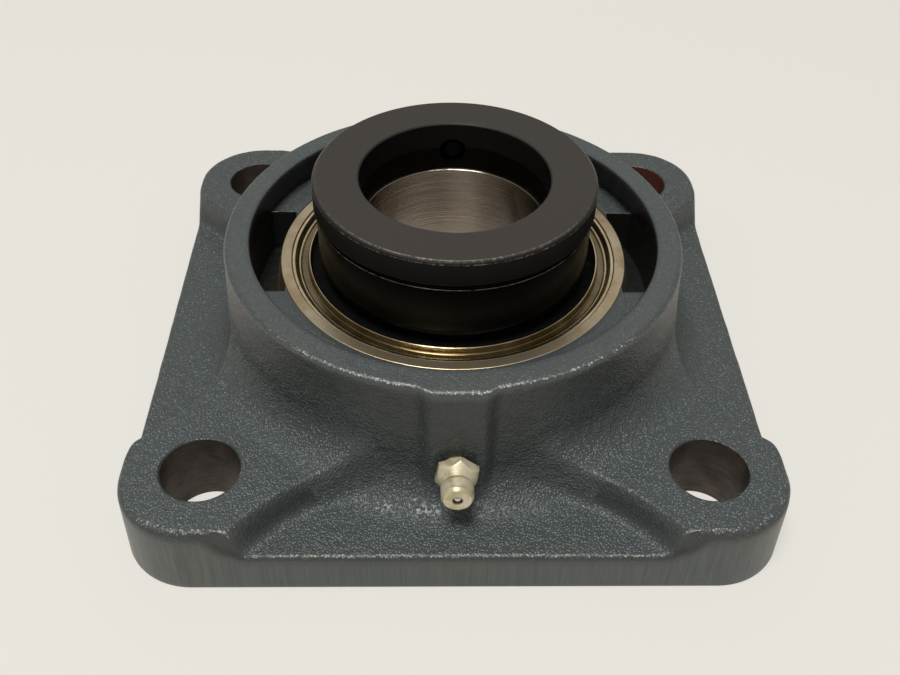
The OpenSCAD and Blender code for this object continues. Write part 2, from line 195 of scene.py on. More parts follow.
def housing_rows():
    """The section at each angle as a closed loop of rows: out along the mounting face, up the flange's
    side, in over the pads, up the fillet and the boss, over the rim and down through the bore.
    Gives radius, angle and height, the way in which sand roughens the row, its share of each finish, of pale
    edge flecks that are partly wear and partly painted highlight, and of painted shade."""
    parts = []

    def ramp(count):
        return np.linspace(0, 1, count, endpoint=False)[:, None]

    def rows(r, theta, z, out=0.0, up=0.0, sand=0.0, wear_and_highlight=0.0, ground=0.0, painted_shade=0.0):
        shape = np.broadcast_shapes(np.shape(r), np.shape(theta), np.shape(z))
        parts.append([np.broadcast_to(v, shape) for v in (r, theta, z, out, up, sand, wear_and_highlight, ground, painted_shade)])

    # Weight of the pale edge flecks round the flange: 1 on the side facing the front and 0.25 behind, so that
    # the painted highlight gathers where the light catches the edges.
    def frontal(theta):
        return 0.25 + 0.75 * step(0.45, 0.9, -np.sin(theta))

    def flank(theta):
        edge = flange_edge(theta)
        crest = flange_top(edge, theta)
        rounding = web_edge + (pad_edge - web_edge) * (crest - web_h) / (pad_h - web_h)
        return edge, crest, rounding, edge - side_draft * crest / pad_h

    back_r = recess_r + recess_chamfer
    s = ramp(6)
    theta = fan(back_r + s * (ridge_r - back_r))
    rows(back_r + s * (flange_edge(theta) - foot_round - back_r), theta, 0.0)
    theta = fan(ridge_r)
    edge, crest, rounding, top_r = flank(theta)
    ground = 0.75 + 0.25 * step(1.1, 1.3, edge / flange_half)
    turn = ramp(3) * FLAT
    rows(edge - foot_round * (1 - np.sin(turn)), theta, foot_round * (1 - np.cos(turn)), ground=ground)
    side_h = crest - rounding - foot_round
    z = foot_round + ramp(10) * side_h
    rows(edge - side_draft * z / pad_h, theta, z, ground=ground * step(0, 2.4, side_h * (1 - ramp(10))))
    turn = ramp(8) * FLAT
    r = top_r - rounding * (1 - np.cos(turn))
    z = flange_top(r, theta) - rounding * (1 - np.sin(turn))
    # Painted shade darkens the foot of each pad's edge rounding and the hollow wall; pale flecks on its upper
    # part, heavier towards the front, are partly wear and partly painted highlight.
    wall = np.exp(-(((pad_ridge(edge, theta) - 1.2) / 1.0) ** 2))
    rubbed_and_highlit = 0.9 * frontal(theta) * step(0.35, 0.95, np.sin(turn)) * (1 - wall)
    rough = (0.35 + 0.65 * np.sin(turn)) * (1 - 0.6 * wall)
    rows(r, theta, z, np.cos(turn), np.sin(turn), rough, rubbed_and_highlit, 0, 0.5 * np.cos(turn) ** 3 + 0.35 * wall)
    s = ramp(46)
    fillet_r = boss_low_r + boss_fillet
    theta = fan((1 - s) * ridge_r + s * fillet_r)
    edge, crest, rounding, top_r = flank(theta)
    r = (1 - s) * (top_r - rounding) + s * fillet_r
    ridge = pad_ridge(r, theta)
    # On the web, pale flecks along the pad's edge and the ridge crest, heavier towards the front, are partly
    # wear and partly painted highlight; painted shade darkens the hollow wall below the crest.
    wall = np.exp(-(((ridge - 0.8) / 0.8) ** 2))
    crest = np.exp(-(((ridge + 0.4) / 0.7) ** 2))
    rubbed_and_highlit = frontal(theta) * (0.9 * np.exp(-s / 0.02) * (1 - wall) + 0.6 * crest)
    rows(r, theta, flange_top(r, theta), 0, 1, 1 - 0.7 * wall, rubbed_and_highlit, 0, 0.35 * wall)
    turn = (1 - ramp(16)) * FLAT
    r = boss_low_r + boss_fillet * (1 - np.cos(turn))
    theta = fan(r)
    r = over(r, strip_reach(theta, 0), strip_blend)
    z = flange_top(r, theta) + boss_fillet * (1 - np.sin(turn))
    # Painted shade darkens the fillet, more towards the boss wall.
    rows(r, theta, z, np.cos(turn), np.sin(turn), 1, 0, 0, 0.4 * np.cos(turn) ** 3)
    theta = fan(boss_r)
    foot = flange_top(over(boss_low_r, strip_reach(theta, 0), strip_blend), theta) + boss_fillet
    s = ramp(15)
    z = foot + s * (boss_top - rim_round - foot)
    r = over(boss_low_r + s * (boss_high_r - boss_low_r), strip_reach(theta, z), strip_blend)
    # Painted shade darkens the boss wall, a little more towards the rim.
    rows(r, theta, z, 1, 0, 1 - 0.6 * step(0, 0.6, s), 0, 0, 0.4 + 0.1 * s)
    rim_r = over(boss_high_r, strip_reach(theta, boss_top), strip_blend)
    turn = ramp(8) * FLAT
    r = rim_r - rim_round * (1 - np.cos(turn))
    # Pale flecks on the rim's outer rounding, heavier towards the front and at the angle where the light
    # catches it, are partly wear and partly painted highlight.
    rubbed_and_highlit = frontal(theta) * np.exp(-(((turn - 0.95) / 0.45) ** 2))
    rows(r, theta, boss_top - rim_round * (1 - np.sin(turn)), 1, 0, 0.5, rubbed_and_highlit, 0.6 * np.sin(turn))
    inner = counterbore_r + counterbore_round
    s = ramp(6)
    rows((1 - s) * (rim_r - rim_round) + s * inner, theta, boss_top, 0, 1, 0.5, 0.4 * np.exp(-s / 0.15), 0.85)
    # Painted shade darkens the counterbore's rounding and wall, down to near black at the ledge, and the
    # ledge next to the wall.
    turn = ramp(4) * FLAT
    z = boss_top - counterbore_round * (1 - np.cos(turn))
    rows(inner - counterbore_round * np.sin(turn), theta, z, sand=0.3, wear_and_highlight=0.3, painted_shade=0.6 * turn / FLAT)
    s = ramp(6)
    z = boss_top - counterbore_round + s * (ring_face - boss_top + counterbore_round)
    rows(counterbore_r, theta, z, sand=0.4, painted_shade=np.minimum(0.6 + 2 * s, 1))
    ledge_in = np.sqrt(seat_r**2 - (ring_face - seat_z) ** 2)
    s = ramp(6)
    r = counterbore_r + s * (ledge_in - counterbore_r)
    rows(r, theta, ring_face, sand=0.6, painted_shade=np.maximum(1 - 3 * s, 0))
    high = np.arcsin((ring_face - seat_z) / seat_r)
    low = -np.arccos(recess_r / seat_r)
    lean = high + ramp(12) * (low - high)
    rows(seat_r * np.cos(lean), theta, seat_z + seat_r * np.sin(lean))
    recess_top = seat_z + seat_r * np.sin(low)
    rows(recess_r, theta, recess_top + ramp(3) * (recess_chamfer - recess_top))
    rows(recess_r, theta, np.full((1, 1), recess_chamfer))
    return [np.concatenate(column) for column in zip(*parts)]


def grid_piece(name, points, loop=True):
    """A piece from points[row, column] in millimetres. Columns always close on themselves; rows close too
    where loop is true, and otherwise the first and last row are capped by a fan about their middle."""
    if not loop:
        ends = [points[:1].mean(1, keepdims=True), points[-1:].mean(1, keepdims=True)]
        ends = [np.repeat(end, points.shape[1], axis=1) for end in ends]
        points = np.concatenate([ends[0], points, ends[1]])
    index = np.arange(points.shape[0] * points.shape[1]).reshape(points.shape[:2])
    upper = np.roll(index, -1, axis=0)
    quads = np.stack([index, np.roll(index, -1, axis=1), np.roll(upper, -1, axis=1), upper], axis=-1)
    if not loop:
        quads = quads[:-1]
    mesh = bpy.data.meshes.new(name)
    mesh.from_pydata((points.reshape(-1, 3) * MM).tolist(), [], quads.reshape(-1, 4).tolist())
    mesh.validate()
    piece = bpy.data.objects.new(name, mesh)
    bpy.context.scene.collection.objects.link(piece)
    if not loop:
        weld = piece.modifiers.new("weld", "WELD")
        weld.merge_threshold = 1e-7
        bake(piece)
    return piece


def bake(piece):
    """Puts the piece's modifiers into its mesh."""
    graph = bpy.context.evaluated_depsgraph_get()
    mesh = bpy.data.meshes.new_from_object(piece.evaluated_get(graph))
    piece.modifiers.clear()
    piece.data = mesh
    mesh.name = piece.name


def drill(piece, cutters):
    """Takes the cutters' solids out of the piece."""
    for cutter in cutters:
        cut = piece.modifiers.new("cut", "BOOLEAN")
        cut.operation = "DIFFERENCE"
        cut.solver = "MANIFOLD"
        cut.object = cutter
    bake(piece)
    for cutter in cutters:
        bpy.data.objects.remove(cutter)


def smooth(piece, crease):
    """Shades the piece smooth, and keeps edges sharp where faces turn by more than the crease in degrees."""
    piece.data.shade_smooth()
    piece.data.set_sharp_from_angle(angle=np.radians(crease))


def around(outline, count):
    """Carries an outline of (radius, height) points round the Z axis in count columns."""
    theta = np.linspace(0, 2 * np.pi, count, endpoint=False)
    r, z = outline[:, :1], outline[:, 1:2]
    return arrow(r * np.cos(theta), r * np.sin(theta), z)


def paint_layers(piece, layers):
    """Keeps how much of each finish, of painted highlight and of painted shade every point has, for the
    material to read.
    """
    for layer, values in layers.items():
        piece.data.attributes.new(layer, "FLOAT", "POINT").data.foreach_set("value", values.ravel())


r, theta, z, out, up, sand, wear_and_highlight, ground, painted_shade = housing_rows()
skin = arrow(r * np.cos(theta), r * np.sin(theta), z)
sand_lumps = [(0.07, 1.9), (0.08, 4.5), (0.14, 15)]
rough = sand * sum(height * lumps(skin, size, seed) for seed, (height, size) in enumerate(sand_lumps, 1))
r = r + rough * out
z = np.minimum(z + rough * up, boss_top)
housing = grid_piece("housing_casting", arrow(r * np.cos(theta), r * np.sin(theta), z))
paint_layers(housing, {"sand": sand, "wear_and_highlight": wear_and_highlight, "ground": ground, "painted_shade": painted_shade})

mouth = 0.04
beyond = 1.0
hole_outline = np.array([
    [bolt_r + mouth + beyond, -beyond],
    [bolt_r, mouth],
    [bolt_r, pad_h - mouth],
    [bolt_r + mouth + 2 * beyond, pad_h + 2 * beyond],
])
bolt_cutters = [
    grid_piece("bolt_cutter", around(hole_outline, 96) + [x * bolt_place, y * bolt_place, 0], loop=False)
    for x in (-1, 1)
    for y in (-1, 1)
]
slot_turn = np.arcsin(slot_half / counterbore_r)
slot_arc = np.linspace(-slot_turn, slot_turn, 25)
slot_clear = 0.03
slot_r = counterbore_r - slot_clear
slot_in = recess_r - beyond
slot_plan = np.concatenate([
    np.column_stack([slot_r * np.cos(slot_arc), slot_r * np.sin(slot_arc)]),
    [[slot_in, slot_half], [slot_in, -slot_half]],
])
slot_heights = np.array([seat_z, ring_face + beyond])[:, None]
slot_cutters = [
    grid_piece("slot_cutter", arrow(turn * slot_plan[:, 0], turn * slot_plan[:, 1], slot_heights), loop=False)
    for turn in (-1, 1)
]
nipple_low, nipple_high = box_of("grease_nipple_body")
nipple_z = (nipple_low[2] + nipple_high[2]) / 2
tapped_r = 3.0
tapped = around(np.array([[tapped_r, -nipple_high[1]], [tapped_r, strip_y + beyond]]), 48)
tapped = arrow(tapped[..., 0], -tapped[..., 2], nipple_z + tapped[..., 1])
tapped_hole = grid_piece("tapped_cutter", tapped, loop=False)
drill(housing, bolt_cutters + slot_cutters + [tapped_hole])
smooth(housing, 32)


def linear(colour):
    """Linear RGBA of an sRGB hex colour."""
    parts = np.array([int(colour[i : i + 2], 16) for i in (1, 3, 5)]) / 255
    parts = np.where(parts <= 0.04045, parts / 12.92, ((parts + 0.055) / 1.055) ** 2.4)
    return (*parts.tolist(), 1.0)


def add(material, kind, inputs=(), **settings):
    """Adds a shader node: settings are its properties, and inputs are values, or sockets to link from."""
    node = material.node_tree.nodes.new("ShaderNode" + kind)
    for name, value in settings.items():
        setattr(node, name, value)
    for name, value in dict(inputs).items():
        if isinstance(value, bpy.types.NodeSocket):
            material.node_tree.links.new(value, node.inputs[name])
        else:
            node.inputs[name].default_value = value
    return node


def finish(name, build):
    """A material of that name, whose nodes the build function adds and whose shader it returns."""
    material = bpy.data.materials.new(name)
    material.use_nodes = True
    material.node_tree.nodes.clear()
    shader = build(material)
    add(material, "OutputMaterial", {"Surface": shader.outputs[0]})
    return material


def enamel_on_sand_cast_iron(m):
    """Semi-gloss slate enamel over sand-cast iron: grains that glint on top, their pale tops partly a painted
    glint, darker between them, streaked paint on the ground sides, pale flecks along the edges that are
    partly rubbed paint and partly painted highlight, and painted shade, blotched, in the mouth of the boss,
    in the hollows between the pads, under the pad edges and down the boss."""
    grain_size = 0.55
    lump_size = 2.2
    cloud_size = 22
    belt_width = 0.8
    belt_length = 25
    place = add(m, "TexCoord").outputs["Object"]
    sand = add(m, "Attribute", attribute_name="sand").outputs["Fac"]
    wear_and_highlight = add(m, "Attribute", attribute_name="wear_and_highlight").outputs["Fac"]
    ground = add(m, "Attribute", attribute_name="ground").outputs["Fac"]
    painted_shade = add(m, "Attribute", attribute_name="painted_shade").outputs["Fac"]
    grain = add(m, "TexVoronoi", {"Vector": place, "Scale": 1 / (grain_size * MM)})
    lump = add(m, "TexNoise", {"Vector": place, "Scale": 1 / (lump_size * MM), "Detail": 2.0})
    cloud = add(m, "TexNoise", {"Vector": place, "Scale": 1 / (cloud_size * MM), "Detail": 3.0})
    dome = add(m, "MapRange", {
        "Value": grain.outputs["Distance"], "From Min": 0.0, "From Max": 0.7, "To Min": 1.0, "To Max": 0.0,
    }, interpolation_type="SMOOTHSTEP")
    chance = add(m, "SeparateColor", {"Color": grain.outputs["Color"]})
    # Pale grain tops: partly the grain's own tone, partly a painted glint; darker between the grains.
    bright = add(m, "Math", {0: chance.outputs["Red"], 1: dome.outputs[0]}, operation="MULTIPLY")
    speckle = add(m, "ValToRGB", {"Fac": bright.outputs[0]})
    ramp = speckle.color_ramp.elements
    ramp[0].color = linear("#414847")
    ramp[1].color = linear("#8c979a")
    ramp.new(0.3).color = linear("#4a5152")
    ramp.new(0.6).color = linear("#5a6466")
    patch = add(m, "MapRange", {"Value": cloud.outputs["Fac"], "From Min": 0.35, "From Max": 0.65})
    paint = add(m, "MixRGB", {
        "Fac": patch.outputs[0], "Color1": linear("#394042"), "Color2": linear("#414442"),
    })
    upright = add(m, "Mapping", {
        "Vector": place,
        "Scale": (1 / (belt_width * MM), 1 / (belt_width * MM), 1 / (belt_length * MM)),
    })
    belt = add(m, "TexNoise", {"Vector": upright.outputs[0], "Scale": 1.0, "Detail": 5.0, "Roughness": 0.7})
    mark = add(m, "MapRange", {"Value": belt.outputs["Fac"], "From Min": 0.3, "From Max": 0.7, "To Max": 1.1})
    streak = add(m, "Math", {0: mark.outputs[0], 1: ground}, operation="MULTIPLY")
    level = add(m, "Math", {0: streak.outputs[0], 1: 1.0}, operation="ADD")
    smooth_paint = add(m, "VectorMath", {
        0: paint.outputs["Color"], "Scale": level.outputs[0],
    }, operation="SCALE")
    tone = add(m, "MixRGB", {
        "Fac": sand, "Color1": smooth_paint.outputs[0], "Color2": speckle.outputs["Color"],
    })
    # Pale flecks along the edges: partly rubbed paint, partly a painted highlight, heavier on the edges
    # facing the front.
    proud = add(m, "Math", {0: bright.outputs[0], 1: 0.7}, operation="ADD")
    fleck_level = add(m, "Math", {0: proud.outputs[0], 1: wear_and_highlight}, operation="MULTIPLY")
    fleck = add(m, "MapRange", {
        "Value": fleck_level.outputs[0], "From Min": 0.6, "From Max": 1.1, "To Max": 0.85,
    })
    rubbed_and_highlit = add(m, "MixRGB", {
        "Fac": fleck.outputs[0], "Color1": tone.outputs["Color"], "Color2": linear("#bab9af"),
    })
    # Painted shade: where that layer is high, the paint darkens towards near black, blotched by the lump
    # noise.
    blotched_shade = add(m, "Math", {0: painted_shade, 1: lump.outputs["Fac"], 2: painted_shade}, operation="MULTIPLY_ADD")
    shade_amount = add(m, "Math", {0: blotched_shade.outputs[0], 1: 0.68}, operation="MULTIPLY", use_clamp=True)
    surface = add(m, "MixRGB", {
        "Fac": shade_amount.outputs[0], "Color1": rubbed_and_highlit.outputs["Color"], "Color2": linear("#0a0b0a"),
    })
    gloss = add(m, "MapRange", {"Value": lump.outputs["Fac"], "To Min": 0.45, "To Max": 0.32})
    coarse = add(m, "Math", {0: lump.outputs["Fac"], 1: sand}, operation="MULTIPLY")
    bumps = add(m, "Bump", {"Height": coarse.outputs[0], "Distance": 0.35 * MM, "Strength": 1.0})
    pebbles = add(m, "Math", {0: dome.outputs[0], 1: sand}, operation="MULTIPLY")
    grains = add(m, "Bump", {
        "Height": pebbles.outputs[0], "Distance": 0.16 * MM, "Strength": 1.0, "Normal": bumps.outputs[0],
    })
    return add(m, "BsdfPrincipled", {
        "Base Color": surface.outputs["Color"], "Roughness": gloss.outputs[0], "Normal": grains.outputs[0],
    })


def drilled_cast_iron(m):
    """Bare drilled iron gone brown: rings from the drill, dull oxide, and redder rust at the rear right."""
    place = add(m, "TexCoord").outputs["Object"]
    rings = add(m, "Mapping", {"Vector": place, "Scale": (60, 60, 1 / (0.6 * MM))})
    drill_marks = add(m, "TexNoise", {
        "Vector": rings.outputs[0], "Scale": 1.0, "Detail": 4.0, "Roughness": 0.6,
    })
    stain = add(m, "TexNoise", {"Vector": place, "Scale": 1 / (4 * MM), "Detail": 4.0, "Roughness": 0.6})
    mottled = add(m, "Math", {
        0: drill_marks.outputs["Fac"], 1: 0.5, 2: stain.outputs["Fac"],
    }, operation="MULTIPLY_ADD")
    contrast = add(m, "MapRange", {"Value": mottled.outputs[0], "From Min": 0.5, "From Max": 1.0})
    oxide = add(m, "MixRGB", {
        "Fac": contrast.outputs[0], "Color1": linear("#241f1b"), "Color2": linear("#584c44"),
    })
    apart = add(m, "SeparateXYZ", {"Vector": place})
    diagonal = add(m, "Math", {0: apart.outputs["X"], 1: apart.outputs["Y"]}, operation="ADD")
    rear_right = add(m, "MapRange", {
        "Value": diagonal.outputs[0], "From Min": 60 * MM, "From Max": 100 * MM, "To Max": 0.6,
    })
    colour = add(m, "MixRGB", {
        "Fac": rear_right.outputs[0], "Color1": oxide.outputs["Color"], "Color2": linear("#6e3327"),
    })
    bump = add(m, "Bump", {"Height": drill_marks.outputs["Fac"], "Distance": 0.08 * MM, "Strength": 0.7})
    return add(m, "BsdfPrincipled", {
        "Base Color": colour.outputs["Color"], "Metallic": 0.3, "Roughness": 0.5, "Normal": bump.outputs[0],
    })


def black_painted_shade_iron(m):
    """Near-black iron for the slots and the seat, as painted shade: almost no colour, a wet sheen in patches.
    """
    place = add(m, "TexCoord").outputs["Object"]
    film = add(m, "TexNoise", {"Vector": place, "Scale": 1 / (2.5 * MM), "Detail": 4.0, "Roughness": 0.6})
    tint = add(m, "MixRGB", {
        "Fac": film.outputs["Fac"], "Color1": linear("#070807"), "Color2": linear("#191b19"),
    })
    bump = add(m, "Bump", {"Height": film.outputs["Fac"], "Distance": 0.3 * MM, "Strength": 0.8})
    return add(m, "BsdfPrincipled", {
        "Base Color": tint.outputs["Color"], "Roughness": 0.45, "Normal": bump.outputs[0],
    })


def faced_cast_iron(m):
    """Iron faced and bored on a lathe: grey and dull, with fine rings round the axis and oil stains."""
    place = add(m, "TexCoord").outputs["Object"]
    rings = tool_rings(m, place, 0.5)
    stain = add(m, "TexNoise", {"Vector": place, "Scale": 1 / (16 * MM), "Detail": 5.0, "Roughness": 0.6})
    tint = add(m, "MixRGB", {
        "Fac": stain.outputs["Fac"], "Color1": linear("#66645f"), "Color2": linear("#96938c"),
    })
    bump = add(m, "Bump", {"Height": rings.outputs["Fac"], "Distance": 0.06 * MM, "Strength": 0.8})
    return add(m, "BsdfPrincipled", {
        "Base Color": tint.outputs["Color"], "Metallic": 0.8, "Roughness": 0.42, "Normal": bump.outputs[0],
    })


def tool_rings(m, place, spacing):
    """Marks that a tool leaves on a turned piece: a noise over distance from the axis and height, so every
    mark runs right round. They are drawn coarser than real ones, so that they show. Gives the noise node."""
    flat = add(m, "VectorMath", {0: place, 1: (1, 1, 0)}, operation="MULTIPLY")
    radius = add(m, "VectorMath", {0: flat.outputs[0]}, operation="LENGTH")
    height = add(m, "SeparateXYZ", {"Vector": place})
    section = add(m, "CombineXYZ", {"X": radius.outputs["Value"], "Z": height.outputs["Z"]})
    return add(m, "TexNoise", {"Vector": section.outputs[0], "Scale": 1 / (spacing * MM), "Detail": 3.0})


faces = housing.data.polygons
middle, facing = np.empty((2, len(faces) * 3))
faces.foreach_get("center", middle)
faces.foreach_get("normal", facing)
x, y, z = middle.reshape(-1, 3).T / MM
upward = facing.reshape(-1, 3)[:, 2]
from_bolt = np.hypot(np.abs(x) - bolt_place, np.abs(y) - bolt_place)
drilled = (from_bolt < bolt_r + mouth) & (np.abs(upward) < 0.9)
# The slots and the seat get near-black iron, as painted shade.
shade_black_faces = (np.hypot(x, y) < counterbore_r) & (z > seat_z - 0.5) & (z < ring_face - 0.01)
faced = (z < 0.01) | ((np.hypot(x, y) < seat_r + 0.01) & (z < ring_face - 0.01))
housing.data.materials.clear()
housing.data.materials.append(finish("enamel_on_sand_cast_iron", enamel_on_sand_cast_iron))
housing.data.materials.append(finish("drilled_cast_iron", drilled_cast_iron))
housing.data.materials.append(finish("black_painted_shade_iron", black_painted_shade_iron))
housing.data.materials.append(finish("faced_cast_iron", faced_cast_iron))
faces.foreach_set("material_index", np.select([drilled, shade_black_faces, faced], [1, 2, 3], 0))
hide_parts("housing")
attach(housing, "housing")


# Grease nipple
# A small fitting turned from hexagon bar and screwed into the strip on the boss. A spring holds a check ball
# in its mouth.
# It is zinc plated and yellow passivated, so it is pale gold with a greenish cast.

nipple_len = -strip_y - nipple_low[1]
nipple_root = -strip_y - nipple_high[1]
nipple_stand = 1.3
hex_flat = 4.0
hex_turn = np.radians(81)
hex_end = 4.5
cone_r = 2.9
cone_slope = 0.78
relief_r = 2.2
nipple_bore = 0.9


def rounded(corners, steps=7):
    """Closed outline through corners (radius, height, rounding), taken in turn with the solid on the left:
    each corner gives way to an arc of its rounding, tangent to the two sides that meet there."""
    corners = np.array(corners, float)
    here, rounding = corners[:, :2], corners[:, 2]
    back = np.roll(here, 1, axis=0) - here
    ahead = np.roll(here, -1, axis=0) - here
    back /= np.linalg.norm(back, axis=1, keepdims=True)
    ahead /= np.linalg.norm(ahead, axis=1, keepdims=True)
    half = np.arccos(np.clip((back * ahead).sum(1), -1, 1)) / 2
    inward = (back + ahead) / np.linalg.norm(back + ahead, axis=1, keepdims=True)
    centre = here + inward * (rounding / np.sin(half))[:, None]
    start = here + back * (rounding / np.tan(half))[:, None] - centre
    end = here + ahead * (rounding / np.tan(half))[:, None] - centre
    first = np.arctan2(start[:, 1], start[:, 0])
    sweep = np.arctan2(end[:, 1], end[:, 0]) - first
    sweep = (sweep + np.pi) % (2 * np.pi) - np.pi
    angle = first[:, None] + sweep[:, None] * np.linspace(0, 1, steps)
    points = centre[:, None] + rounding[:, None, None] * arrow(np.cos(angle), np.sin(angle))
    return points.reshape(-1, 2)


def refined(outline, spacing):
    """The closed outline with points added so that none lie further apart than the spacing. Columns after
    the radius and the height are carried along."""
    ring = np.concatenate([outline, outline[:1]])
    along = np.concatenate([[0], np.cumsum(np.linalg.norm(np.diff(ring[:, :2], axis=0), axis=1))])
    marks = np.unique(np.concatenate([along[:-1], np.arange(0, along[-1], spacing)]))
    return np.column_stack([np.interp(marks, along, column) for column in ring.T])


def hexagon(theta, flat):
    """Radius of a hexagon at each angle, from half its width across flats."""
    return flat / np.cos((theta + np.pi / 6) % (np.pi / 3) - np.pi / 6)


hex_reach = hex_flat * 1.25
nipple_outline = refined(
    rounded([
        (nipple_bore, nipple_root, 0.05),
        (2.97, nipple_root, 0.3),
        (2.97, -0.3, 0.1),
        (relief_r, 0.2, 0.1),
        (relief_r, nipple_stand, 0.02),
        (hex_reach, nipple_stand, 0.02),
        (hex_reach, hex_end - (hex_reach - cone_r) / cone_slope, 0.02),
        (cone_r, hex_end, 0.1),
        (relief_r, hex_end + 0.2, 0.1),
        (relief_r, hex_end + 0.55, 0.1),
        (3.28, hex_end + 0.85, 0.15),
        (3.2, 7.7, 0.8),
        (2.75, nipple_len, 0.3),
        (nipple_bore, nipple_len, 0.08),
        (nipple_bore, nipple_len - 0.5, 0.05),
        (1.3, nipple_len - 0.5, 0.05),
        (1.3, 0.0, 0.05),
        (nipple_bore, 0.0, 0.05),
    ]),
    0.15,
)
theta = np.linspace(0, 2 * np.pi, 120, endpoint=False)
r, h = nipple_outline[:, :1], nipple_outline[:, 1:]
in_hex = (h > nipple_stand - 0.01) & (h < hex_end + 0.05) & (r > cone_r - 0.1)
r = np.where(in_hex, np.minimum(r, hexagon(theta - hex_turn + np.pi / 6, hex_flat)), r)
nipple = grid_piece("grease_nipple", arrow(r * np.cos(theta), -strip_y - h, nipple_z + r * np.sin(theta)))
smooth(nipple, 25)


def yellow_zinc_plated_steel(m):
    """Passivated zinc on turned steel: pale gold that drifts to green and rose, half matt, with faint tool
    rings."""
    place = add(m, "TexCoord").outputs["Object"]
    drift = add(m, "TexNoise", {"Vector": place, "Scale": 1 / (2.4 * MM), "Detail": 3.0, "Distortion": 0.6})
    tint = add(m, "ValToRGB", {"Fac": drift.outputs["Fac"]})
    ramp = tint.color_ramp.elements
    ramp[0].position = 0.34
    ramp[0].color = linear("#b5ad89")
    ramp[1].position = 0.64
    ramp[1].color = linear("#ddd2bc")
    ramp.new(0.5).color = linear("#d0c7a8")
    along = add(m, "Mapping", {"Vector": place, "Scale": (20, 1 / (0.22 * MM), 20)})
    rings = add(m, "TexNoise", {"Vector": along.outputs[0], "Scale": 1.0, "Detail": 2.0})
    from_axis = add(m, "VectorMath", {0: place, 1: (0, 0, nipple_z * MM)}, operation="SUBTRACT")
    flat = add(m, "VectorMath", {0: from_axis.outputs[0], 1: (1, 0, 1)}, operation="MULTIPLY")
    radius = add(m, "VectorMath", {0: flat.outputs[0]}, operation="LENGTH")
    # A dark brown ring round the mouth.
    dark_mouth_ring = add(m, "MapRange", {
        "Value": radius.outputs["Value"], "From Min": nipple_bore * MM, "From Max": (nipple_bore + 0.35) * MM,
        "To Min": 0.9, "To Max": 0.0,
    })
    colour = add(m, "MixRGB", {
        "Fac": dark_mouth_ring.outputs[0], "Color1": tint.outputs["Color"], "Color2": linear("#3d2f1b"),
    })
    gloss = add(m, "MapRange", {"Value": drift.outputs["Fac"], "To Min": 0.36, "To Max": 0.52})
    bump = add(m, "Bump", {"Height": rings.outputs["Fac"], "Distance": 0.03 * MM, "Strength": 0.7})
    return add(m, "BsdfPrincipled", {
        "Base Color": colour.outputs["Color"], "Metallic": 0.5,
        "Roughness": gloss.outputs[0], "Normal": bump.outputs[0],
    })


nipple.data.materials.append(finish("yellow_zinc_plated_steel", yellow_zinc_plated_steel))
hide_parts("grease_nipple_body")
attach(nipple, "housing")


def polished_chrome_steel(m):
    """Lapped and polished bearing steel: a dark mirror with the finest haze."""
    place = add(m, "TexCoord").outputs["Object"]
    haze = add(m, "TexNoise", {"Vector": place, "Scale": 1 / (1.5 * MM), "Detail": 4.0})
    gloss = add(m, "MapRange", {"Value": haze.outputs["Fac"], "To Min": 0.06, "To Max": 0.14})
    return add(m, "BsdfPrincipled", {
        "Base Color": linear("#c4c4c2"), "Metallic": 1.0, "Roughness": gloss.outputs[0],
    })


def drawn_spring_wire(m):
    """Drawn carbon steel wire: grey, with dull streaks along the draw."""
    place = add(m, "TexCoord").outputs["Object"]
    streak = add(m, "TexNoise", {"Vector": place, "Scale": 1 / (0.3 * MM), "Detail": 3.0})
    tint = add(m, "MixRGB", {
        "Fac": streak.outputs["Fac"], "Color1": linear("#77756f"), "Color2": linear("#a5a39b"),
    })
    return add(m, "BsdfPrincipled", {"Base Color": tint.outputs["Color"], "Metallic": 1.0, "Roughness": 0.35})


def dress(nodes, material):
    """Gives CAD nodes that are shown as they are their finish."""
    for name in nodes:
        frame["nodes"][name].data.materials.clear()
        frame["nodes"][name].data.materials.append(material)


ball_steel = finish("polished_chrome_steel", polished_chrome_steel)
dress(["grease_nipple_ball"], ball_steel)
dress(["grease_nipple_spring"], finish("drawn_spring_wire", drawn_spring_wire))


# Outer ring
# The insert's outer race: a ring of bearing steel, ground to a sphere outside so that it can tilt.
# Its faces have been left a dull tan by oil and heat.

pitch_r = 30.0
ball_r = 6.0
race_gap = 0.06
outer_land = 33.75
shield_seat_r = 36.25
shield_seat_h = 2.7
outer_groove = 1.06 * ball_r
edge_break = 0.25


def race(groove_r, land_r, deepest):
    """Three corners of a ball track: its edges on the land, and the point where their tangents meet."""
    middle = deepest + (groove_r if land_r > deepest else -groove_r)
    half = np.sqrt(groove_r**2 - (land_r - middle) ** 2)
    tip = middle + np.sign(deepest - middle) * groove_r**2 / abs(land_r - middle)
    return [(land_r, seat_z - half, 0.1), (tip, seat_z, groove_r * 0.98), (land_r, seat_z + half, 0.1)]


def turned(name, outline, count=192, shift=0.0):
    """A turned piece: the closed outline carried round the Z axis, each row shifted along X by its offset."""
    points = around(outline, count)
    points[..., 0] += np.broadcast_to(shift, len(outline))[:, None]
    piece = grid_piece(name, points)
    smooth(piece, 40)
    even = piece.modifiers.new("even_normals", "WEIGHTED_NORMAL")
    even.keep_sharp = True
    return piece


